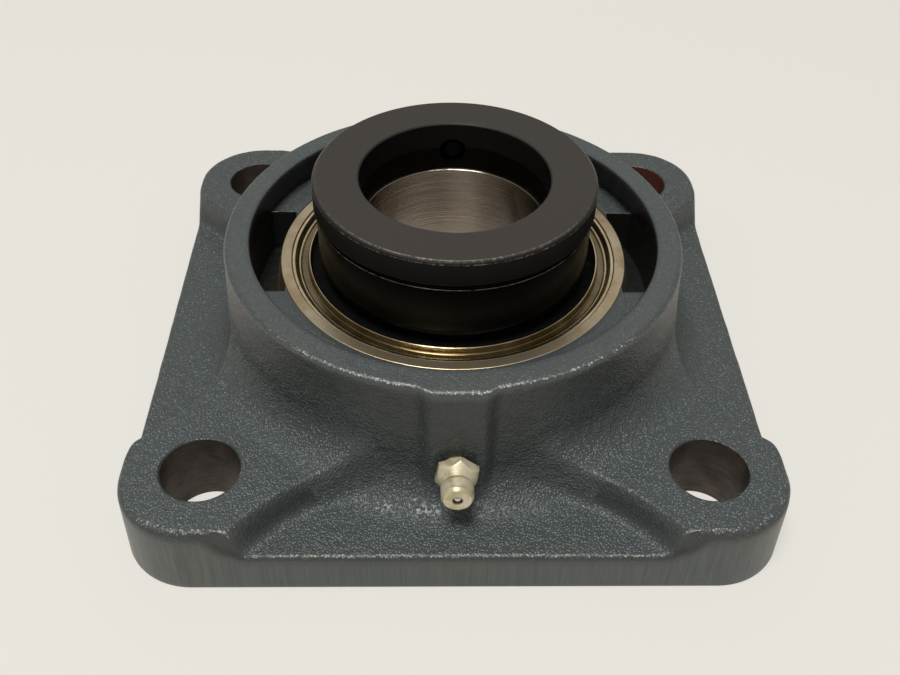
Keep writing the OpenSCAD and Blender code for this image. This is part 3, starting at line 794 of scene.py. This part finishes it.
ring_half = ring_face - seat_z
face_r = np.sqrt(ring_r**2 - ring_half**2)
crown = ring_r**2 / face_r
seat_floor = ring_face - shield_seat_h
seat_floor_rear = 2 * seat_z - seat_floor
outer_ring = turned(
    "outer_ring_race",
    rounded(
        [
            (shield_seat_r, ring_low[2], 0.1),
            (face_r, ring_low[2], edge_break),
            (crown, seat_z, ring_r * 0.98),
            (face_r, ring_face, edge_break),
            (shield_seat_r, ring_face, 0.1),
            (shield_seat_r, seat_floor, 0.1),
            (outer_land, seat_floor, 0.15),
        ]
        + race(outer_groove, outer_land, pitch_r + ball_r + race_gap)[::-1]
        + [(outer_land, seat_floor_rear, 0.15), (shield_seat_r, seat_floor_rear, 0.1)],
        12,
    ),
)


def ground_steel_tanned(m):
    """Ground bearing steel with a dried oil film: warm tan, soft sheen, fine rings and darker stains."""
    place = add(m, "TexCoord").outputs["Object"]
    stain = add(m, "TexNoise", {"Vector": place, "Scale": 1 / (7 * MM), "Detail": 5.0, "Roughness": 0.65})
    film = add(m, "MapRange", {"Value": stain.outputs["Fac"], "From Min": 0.38, "From Max": 0.7})
    tint = add(m, "MixRGB", {
        "Fac": film.outputs[0], "Color1": linear("#d2c3a7"), "Color2": linear("#ad9773"),
    })
    rings = tool_rings(m, place, 0.3)
    gloss = add(m, "MapRange", {"Value": stain.outputs["Fac"], "To Min": 0.3, "To Max": 0.5})
    bump = add(m, "Bump", {"Height": rings.outputs["Fac"], "Distance": 0.02 * MM, "Strength": 0.6})
    return add(m, "BsdfPrincipled", {
        "Base Color": tint.outputs["Color"], "Metallic": 1.0,
        "Roughness": gloss.outputs[0], "Normal": bump.outputs[0],
    })


outer_ring.data.materials.append(finish("ground_steel_tanned", ground_steel_tanned))
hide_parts("outer_ring")
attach(outer_ring, "outer_ring")


# Inner ring
# The race that grips the shaft, with an eccentric nose in front for the locking collar.
# Bearing steel, ground in the bore and on the track, bright but for a film of oil.

inner_low, inner_high = box_of("inner_ring")
shaft_r = 20.0
inner_land = inner_high[1]
inner_groove = 1.04 * ball_r
nose_r = 25.0
nose_start = 34.0
nose_shift = 0.8
bore_chamfer = 0.1
inner_corners = (
    [
        (shaft_r + bore_chamfer, inner_low[2], 0.04),
        (inner_land, inner_low[2], 0.4),
    ]
    + race(inner_groove, inner_land, pitch_r - ball_r - race_gap)
    + [
        (inner_land, nose_start, 0.3),
        (nose_r, nose_start, 0.2),
        (nose_r, inner_high[2], 0.4),
        (shaft_r + bore_chamfer, inner_high[2], 0.04),
        (shaft_r, inner_high[2] - bore_chamfer, 0.04),
        (shaft_r, inner_low[2] + bore_chamfer, 0.04),
    ]
)
inner_steps = 10
on_nose = [1.0 if corner[0] == nose_r else 0.0 for corner in inner_corners]
inner_ring = turned(
    "inner_ring_race",
    rounded(inner_corners, inner_steps),
    shift=nose_shift * np.repeat(on_nose, inner_steps),
)


def ground_bearing_steel(m):
    """Ground bearing steel: grey and bright, its lights drawn out into streaks across the grinding lines,
    with oil marks."""
    place = add(m, "TexCoord").outputs["Object"]
    rings = tool_rings(m, place, 0.35)
    scratch = tool_rings(m, place, 0.12)
    oil = add(m, "TexNoise", {"Vector": place, "Scale": 1 / (9 * MM), "Detail": 4.0})
    tint = add(m, "MixRGB", {
        "Fac": oil.outputs["Fac"], "Color1": linear("#a89d91"), "Color2": linear("#d0c4b5"),
    })
    gloss = add(m, "MapRange", {"Value": oil.outputs["Fac"], "To Min": 0.2, "To Max": 0.27})
    lines = add(m, "Bump", {"Height": rings.outputs["Fac"], "Distance": 0.12 * MM, "Strength": 0.9})
    fine = add(m, "Bump", {
        "Height": scratch.outputs["Fac"], "Distance": 0.04 * MM, "Strength": 0.8, "Normal": lines.outputs[0],
    })
    grinding = add(m, "Tangent", direction_type="RADIAL", axis="Z")
    return add(m, "BsdfPrincipled", {
        "Base Color": tint.outputs["Color"], "Metallic": 1.0, "Roughness": gloss.outputs[0],
        "Anisotropic": 1.0, "Anisotropic Rotation": 0.25, "Tangent": grinding.outputs[0],
        "Normal": fine.outputs[0],
    })


inner_ring.data.materials.append(finish("ground_bearing_steel", ground_bearing_steel))
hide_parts("inner_ring")
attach(inner_ring, "inner_ring")


# Balls and cage
# Nine lapped steel balls run between the races. Two halves of pressed strip steel, riveted together, space
# them out.

def pressed_strip_steel(m):
    """Cold-rolled strip, pressed to shape: grey and satin, with rolling streaks and an oil bloom."""
    place = add(m, "TexCoord").outputs["Object"]
    streak = add(m, "TexNoise", {"Vector": place, "Scale": 1 / (0.8 * MM), "Detail": 4.0})
    tint = add(m, "MixRGB", {
        "Fac": streak.outputs["Fac"], "Color1": linear("#7d7b74"), "Color2": linear("#b0ada3"),
    })
    bump = add(m, "Bump", {"Height": streak.outputs["Fac"], "Distance": 0.02 * MM, "Strength": 0.5})
    return add(m, "BsdfPrincipled", {
        "Base Color": tint.outputs["Color"], "Metallic": 1.0, "Roughness": 0.38, "Normal": bump.outputs[0],
    })


dress([name for name in frame["nodes"] if name.startswith("ball_")], ball_steel)
dress(["cage_front", "cage_rear", "cage_rivets"], finish("pressed_strip_steel", pressed_strip_steel))


# Seals
# On each side a pressed shield is rolled into the outer ring, and holds a rubber washer on the inner ring.
# The shields are yellow chromated sheet: a bead, a slope, a channel and an upturned inner edge.

shield_low, shield_high = box_of("front_seal_shield")
shield_r = shield_high[0]
sheet = 0.5
bead_top = ring_face - 0.25
slope_r = 34.3
slope_top = ring_face - 1.25
channel = ring_face - 1.7
lip_r = 31.95
shield_outline = rounded(
    [
        (shield_r - sheet, shield_low[2], 0.08),
        (shield_r, shield_low[2], 0.08),
        (shield_r, bead_top, 0.3),
        (shield_r - 0.75, bead_top, 0.25),
        (slope_r + 0.25, slope_top, 0.25),
        (slope_r, slope_top + 0.1, 0.2),
        (slope_r - 0.35, channel, 0.2),
        (lip_r + sheet, channel, 0.35),
        (lip_r + sheet, ring_face, 0.22),
        (lip_r, ring_face, 0.22),
        (lip_r, channel - sheet, 0.4),
        (slope_r + 0.3, channel - sheet, 0.3),
        (shield_r - sheet, slope_top, 0.2),
    ],
    8,
)
lip_edge = inner_land + 0.06
lip_top = channel - sheet - 0.02
lip_t = 0.7
lip_outline = rounded(
    [
        (lip_r + 1.43, lip_top - lip_t, 0.1),
        (lip_r + 1.43, lip_top, 0.1),
        (lip_edge + 2 * lip_t, lip_top, 0.4),
        (lip_edge, lip_top + lip_t / 2, 0.12),
        (lip_edge, lip_top, 0.1),
        (lip_edge + 2 * lip_t, lip_top - lip_t, 0.4),
    ],
    6,
)


def mirrored(outline):
    """The outline turned over about the seat's middle, and run backwards to keep the solid on its left."""
    return (outline * [1, -1] + [0, 2 * seat_z])[::-1]


def yellow_chromated_sheet(m):
    """Bright pressed steel with a yellow chromate film: pale gold on the beads, drifting to olive, and brown
    on the slope and in the channel, with the crest and the lip left pale."""
    place = add(m, "TexCoord").outputs["Object"]
    drift = add(m, "TexNoise", {"Vector": place, "Scale": 1 / (6 * MM), "Detail": 4.0, "Distortion": 0.4})
    tint = add(m, "ValToRGB", {"Fac": drift.outputs["Fac"]})
    ramp = tint.color_ramp.elements
    ramp[0].position = 0.3
    ramp[0].color = linear("#ab9b76")
    ramp[1].position = 0.7
    ramp[1].color = linear("#ddd0b0")
    ramp.new(0.5).color = linear("#c6b793")
    flat = add(m, "VectorMath", {0: place, 1: (1, 1, 0)}, operation="MULTIPLY")
    radius = add(m, "VectorMath", {0: flat.outputs[0]}, operation="LENGTH")
    across = add(m, "MapRange", {
        "Value": radius.outputs["Value"], "From Min": lip_r * MM, "From Max": shield_r * MM,
    })
    brown_bands = add(m, "ValToRGB", {"Fac": across.outputs[0]})
    low, high = brown_bands.color_ramp.elements
    low.position = 0.4 / (shield_r - lip_r)
    low.color = linear("#000000")
    high.position = (slope_r + 1.35 - lip_r) / (shield_r - lip_r)
    high.color = linear("#000000")
    # Brown bands on the slope and in the channel; the crest, the lip and the bead stay pale gold.
    brown_band_stops = [
        (lip_r + 0.65, "#e0e0e0"), (slope_r - 0.45, "#e0e0e0"), (slope_r - 0.2, "#202020"),
        (slope_r + 0.15, "#202020"), (slope_r + 0.5, "#e8e8e8"), (slope_r + 1.0, "#c0c0c0"),
    ]
    for r, amount in brown_band_stops:
        brown_bands.color_ramp.elements.new((r - lip_r) / (shield_r - lip_r)).color = linear(amount)
    banded_tint = add(m, "MixRGB", {
        "Fac": brown_bands.outputs["Color"], "Color1": tint.outputs["Color"], "Color2": linear("#46361f"),
    })
    rings = tool_rings(m, place, 0.5)
    gloss = add(m, "MapRange", {"Value": drift.outputs["Fac"], "To Min": 0.14, "To Max": 0.28})
    bump = add(m, "Bump", {"Height": rings.outputs["Fac"], "Distance": 0.02 * MM, "Strength": 0.5})
    return add(m, "BsdfPrincipled", {
        "Base Color": banded_tint.outputs["Color"], "Metallic": 1.0,
        "Roughness": gloss.outputs[0], "Normal": bump.outputs[0],
    })


def moulded_nitrile_rubber(m):
    """Moulded nitrile rubber: near black and matt, greasy in patches."""
    place = add(m, "TexCoord").outputs["Object"]
    grease = add(m, "TexNoise", {"Vector": place, "Scale": 1 / (3 * MM), "Detail": 3.0})
    gloss = add(m, "MapRange", {
        "Value": grease.outputs["Fac"], "From Min": 0.4, "From Max": 0.6, "To Min": 0.6, "To Max": 0.85,
    })
    return add(m, "BsdfPrincipled", {
        "Base Color": linear("#050505"), "Roughness": gloss.outputs[0], "Specular IOR Level": 0.1,
    })


chromate = finish("yellow_chromated_sheet", yellow_chromated_sheet)
rubber = finish("moulded_nitrile_rubber", moulded_nitrile_rubber)
for side, turn in (("front", np.array), ("rear", mirrored)):
    shield = turned(side + "_shield", turn(shield_outline))
    shield.data.materials.append(chromate)
    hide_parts(side + "_seal_shield")
    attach(shield, "outer_ring")
    washer = turned(side + "_lip", turn(lip_outline), 128)
    washer.data.materials.append(rubber)
    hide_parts(side + "_seal_lip")
    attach(washer, "outer_ring")


# Locking collar
# A turned steel ring with an eccentric recess: a turn on the ring's nose wedges it on the shaft.
# It is blackened in a hot oxide bath, with the black rubbed off along its edges.

collar_low, collar_high = box_of("locking_collar")
screw_low, screw_high = box_of("collar_set_screw")
screw_z = (screw_low[2] + screw_high[2]) / 2
collar_r = collar_high[0]
collar_top = collar_high[2]
band_r = collar_r - 0.6
groove_r = collar_r - 1.2
groove_top = collar_top - 5.8
groove_low = groove_top - 1.6
collar_chamfer = 0.7
collar_bore = shaft_r + 0.45
recess_wall = nose_r + 0.06
recess_top = inner_high[2] + 0.05
collar_corners = [
    (recess_wall, collar_low[2], 0.15),
    (band_r - collar_chamfer, collar_low[2], 0.2),
    (band_r, collar_low[2] + collar_chamfer, 0.2),
    (band_r, groove_low, 0.22),
    (groove_r, groove_low, 0.1),
    (groove_r, groove_top, 0.1),
    (collar_r, groove_top, 0.15),
    (collar_r, collar_top - collar_chamfer, 0.3),
    (collar_r - collar_chamfer, collar_top, 0.25),
    (collar_bore + 0.4, collar_top, 0.15),
    (collar_bore, collar_top - 0.4, 0.15),
    (collar_bore, recess_top, 0.1),
    (recess_wall, recess_top, 0.1),
]
in_recess = [nose_shift if corner[0] == recess_wall else 0.0 for corner in collar_corners]
edge_wear_and_highlight = [0, 0, 0, 1.2, 0, 0, 0, 0.7, 0.95, 0.5, 0, 0, 0]
collar_steps = 8
collar_outline = refined(
    np.column_stack([
        rounded(collar_corners, collar_steps),
        np.repeat(in_recess, collar_steps),
    ]),
    0.6,
)
collar_rows = around(collar_outline, 256)
collar_rows[..., 0] += collar_outline[:, 2:]
collar = grid_piece("locking_collar_ring", collar_rows)
apart = np.linalg.norm(collar_outline[:, None, :2] - np.array(collar_corners)[None, :, :2], axis=2)
# Pale flecks along the collar's edges, partly rubbed steel and partly painted highlight: heaviest on the
# lower band's top edge, and heavier on the front.
rubbed_and_highlit = (np.exp(-((apart / 0.2) ** 2)) * edge_wear_and_highlight).max(1, keepdims=True)
to_front = np.sin(np.linspace(0, -2 * np.pi, collar_rows.shape[1], endpoint=False))
# Painted sheen: a grey tint on the top face, and a little on the upper band, for the light they catch; the
# top is rougher too.
faced = step(collar_top - 0.5, collar_top - 0.1, collar_outline[:, 1:2])
faced = np.maximum(faced, 0.15 * (collar_outline[:, 1:2] > groove_top))
paint_layers(collar, {
    "wear_and_highlight": rubbed_and_highlit * (0.6 + 0.4 * step(0.2, 0.95, to_front)),
    "dull": np.repeat(faced, collar_rows.shape[1], axis=1),
})
screw_hole_r = 3.0
hole_start = shaft_r - 2
hole_outline = np.array([
    [screw_hole_r, hole_start],
    [screw_hole_r, band_r - 0.9],
    [screw_hole_r + 1.5, band_r + 0.6],
])
hole = around(hole_outline, 64)
hole = arrow(hole[..., 0], hole[..., 2], screw_z - hole[..., 1])
drill(collar, [grid_piece("screw_cutter", hole, loop=False)])
smooth(collar, 40)
even = collar.modifiers.new("even_normals", "WEIGHTED_NORMAL")
even.keep_sharp = True


def black_oxide_steel(m):
    """Hot-blackened turned steel: black with a brown cast, a soft sheen painted into the colour that greys
    the top face and a little of the upper band, fine turning rings, and pale steel flecks along the edges,
    partly rubbed by handling and partly painted highlight, heavier on the front."""
    place = add(m, "TexCoord").outputs["Object"]
    wear_and_highlight = add(m, "Attribute", attribute_name="wear_and_highlight").outputs["Fac"]
    dull = add(m, "Attribute", attribute_name="dull").outputs["Fac"]
    rings = tool_rings(m, place, 0.3)
    bloom = add(m, "TexNoise", {"Vector": place, "Scale": 1 / (14 * MM), "Detail": 5.0, "Roughness": 0.6})
    black = add(m, "MixRGB", {
        "Fac": bloom.outputs["Fac"], "Color1": linear("#030302"), "Color2": linear("#070605"),
    })
    # Painted sheen: grey tint where the dull layer is high.
    tint = add(m, "MixRGB", {"Fac": dull, "Color1": black.outputs["Color"], "Color2": linear("#3c3835")})
    fleck_noise = add(m, "TexNoise", {"Vector": place, "Scale": 1 / (0.9 * MM), "Detail": 5.0, "Roughness": 0.7})
    # Pale steel flecks: partly rubbed edges, partly painted highlight.
    level = add(m, "Math", {0: wear_and_highlight, 1: 0.4, 2: fleck_noise.outputs["Fac"]}, operation="MULTIPLY_ADD")
    bare_and_highlit = add(m, "MapRange", {"Value": level.outputs[0], "From Min": 0.72, "From Max": 0.98, "To Max": 0.8})
    colour = add(m, "MixRGB", {
        "Fac": bare_and_highlit.outputs[0], "Color1": tint.outputs["Color"], "Color2": linear("#8d857e"),
    })
    gloss = add(m, "MapRange", {"Value": dull, "To Min": 0.27, "To Max": 0.5})
    bump = add(m, "Bump", {"Height": rings.outputs["Fac"], "Distance": 0.02 * MM, "Strength": 0.6})
    return add(m, "BsdfPrincipled", {
        "Base Color": colour.outputs["Color"], "Metallic": bare_and_highlit.outputs[0], "Specular IOR Level": 0.15,
        "Roughness": gloss.outputs[0], "Normal": bump.outputs[0],
    })


blackened = finish("black_oxide_steel", black_oxide_steel)
collar.data.materials.clear()
collar.data.materials.append(blackened)
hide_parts("locking_collar")
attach(collar, "locking_collar")


# Set screw
# A hexagon socket screw with a flat point, which locks the collar on the shaft.
# Its thread is rolled, and it is blackened like the collar.

screw_start = screw_low[1]
screw_len = screw_high[1] - screw_start
screw_r = screw_high[0]
thread_pitch = 1.0
thread_depth = 0.5
point_r = screw_r * 0.6
point_h = screw_r - point_r
socket_flat = 1.5
socket_h = 3.0
theta = np.linspace(0, 2 * np.pi, 72, endpoint=False)
h = np.linspace(point_h, screw_len, 90)[:, None]
crest = np.abs((h / thread_pitch - theta / (2 * np.pi)) % 1 - 0.5) * 2
runout = np.minimum(step(point_h, point_h + 0.8, h), step(screw_len, screw_len - 0.5, h))
thread_r = screw_r - 0.03 - thread_depth * np.clip(1.25 * crest - 0.1, 0, 1) * runout - 0.3 * (1 - runout)
socket = hexagon(theta, socket_flat)[None]
screw_r_rows = np.concatenate([np.full((1, 72), point_r), thread_r, socket + 0.15, socket, socket])
screw_h_rows = np.concatenate([[[0.0]], h, [[screw_len], [screw_len - 0.15], [screw_len - socket_h]]])
screw = grid_piece(
    "set_screw",
    arrow(
        screw_r_rows * np.cos(theta),
        screw_start + screw_h_rows,
        screw_z - screw_r_rows * np.sin(theta),
    ),
    loop=False,
)
smooth(screw, 35)
screw.data.materials.append(blackened)
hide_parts("collar_set_screw")
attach(screw, "set_screw")


# Floor and light
# A pale matt table under a soft square lamp above and a little in front, with a wide faint light behind
# and plain bright surroundings.

def matt_board(m):
    """Pale matt board, even and faintly warm. The eye also sees a share of plain board colour, which keeps
    the shadow under the flange as thin as in a bright room."""
    board = linear("#e6e3dc")
    lit = add(m, "BsdfDiffuse", {"Color": board})
    plain = add(m, "Emission", {"Color": board})
    seen = add(m, "LightPath").outputs["Is Camera Ray"]
    share = add(m, "Math", {0: seen, 1: 0.65}, operation="MULTIPLY")
    return add(m, "MixShader", {"Fac": share.outputs[0], 1: lit.outputs[0], 2: plain.outputs[0]})


floor_half = 3000
floor_plan = np.array([[-1, -1], [1, -1], [1, 1], [-1, 1]]) * floor_half
floor_mesh = bpy.data.meshes.new("floor")
floor_mesh.from_pydata((arrow(floor_plan[:, 0], floor_plan[:, 1], 0.0) * MM).tolist(), [], [(0, 1, 2, 3)])
floor = bpy.data.objects.new("floor", floor_mesh)
bpy.context.scene.collection.objects.link(floor)
floor.data.materials.append(finish("matt_board", matt_board))

world = bpy.data.worlds.new("studio")
world.use_nodes = True
surroundings = world.node_tree.nodes["Background"].inputs
surroundings["Color"].default_value = linear("#fbf8f2")
seen = add(world, "LightPath").outputs["Is Camera Ray"]
strength = add(world, "MapRange", {"Value": seen, "To Min": 0.345, "To Max": 0.82})
world.node_tree.links.new(strength.outputs[0], surroundings["Strength"])
bpy.context.scene.world = world

lamp_data = bpy.data.lights.new("softbox", "AREA")
lamp_data.shape = "RECTANGLE"
lamp_data.size = 0.36
lamp_data.size_y = 0.36
lamp_data.energy = 10.8
lamp_data.color = linear("#fffdfa")[:3]
lamp = bpy.data.objects.new("softbox", lamp_data)
lamp.location = (-0.14, -0.32, 1.15)
lamp.rotation_euler = (0.271, -0.121, 0)
bpy.context.scene.collection.objects.link(lamp)

card_data = bpy.data.lights.new("rear_card", "AREA")
card_data.shape = "RECTANGLE"
card_data.size = 1.3
card_data.size_y = 0.8
card_data.energy = 1.0
card = bpy.data.objects.new("rear_card", card_data)
card.location = (0.05, 1.1, 1.0)
card.rotation_euler = (-0.833, 0.0, 0)
bpy.context.scene.collection.objects.link(card)


# Camera
# Seen from in front of the flange and above it, turned and rolled a little.

camera_place = np.array([-6.2, -186.6, 176.7])
camera_dip = np.radians(42.47)
camera_yaw = 0.032
camera_roll = -0.024
photo_w = 900
focal_px = 1039.7
ahead = np.array([
    np.sin(camera_yaw) * np.cos(camera_dip),
    np.cos(camera_yaw) * np.cos(camera_dip),
    -np.sin(camera_dip),
])
level = np.array([np.cos(camera_yaw), -np.sin(camera_yaw), 0])
upright = np.cross(level, ahead)
camera_x = level * np.cos(camera_roll) - upright * np.sin(camera_roll)
camera_y = upright * np.cos(camera_roll) + level * np.sin(camera_roll)
camera_data = bpy.data.cameras.new("camera")
camera_data.sensor_width = 36
camera_data.lens = camera_data.sensor_width * focal_px / photo_w
camera_data.clip_start = 0.01
camera = bpy.data.objects.new("camera", camera_data)
pose = Matrix(np.column_stack([camera_x, camera_y, -ahead]).tolist()).to_4x4()
pose.translation = camera_place * MM
camera.matrix_world = pose
bpy.context.scene.collection.objects.link(camera)
bpy.context.scene.camera = camera
bpy.context.scene.view_settings.view_transform = "Standard"
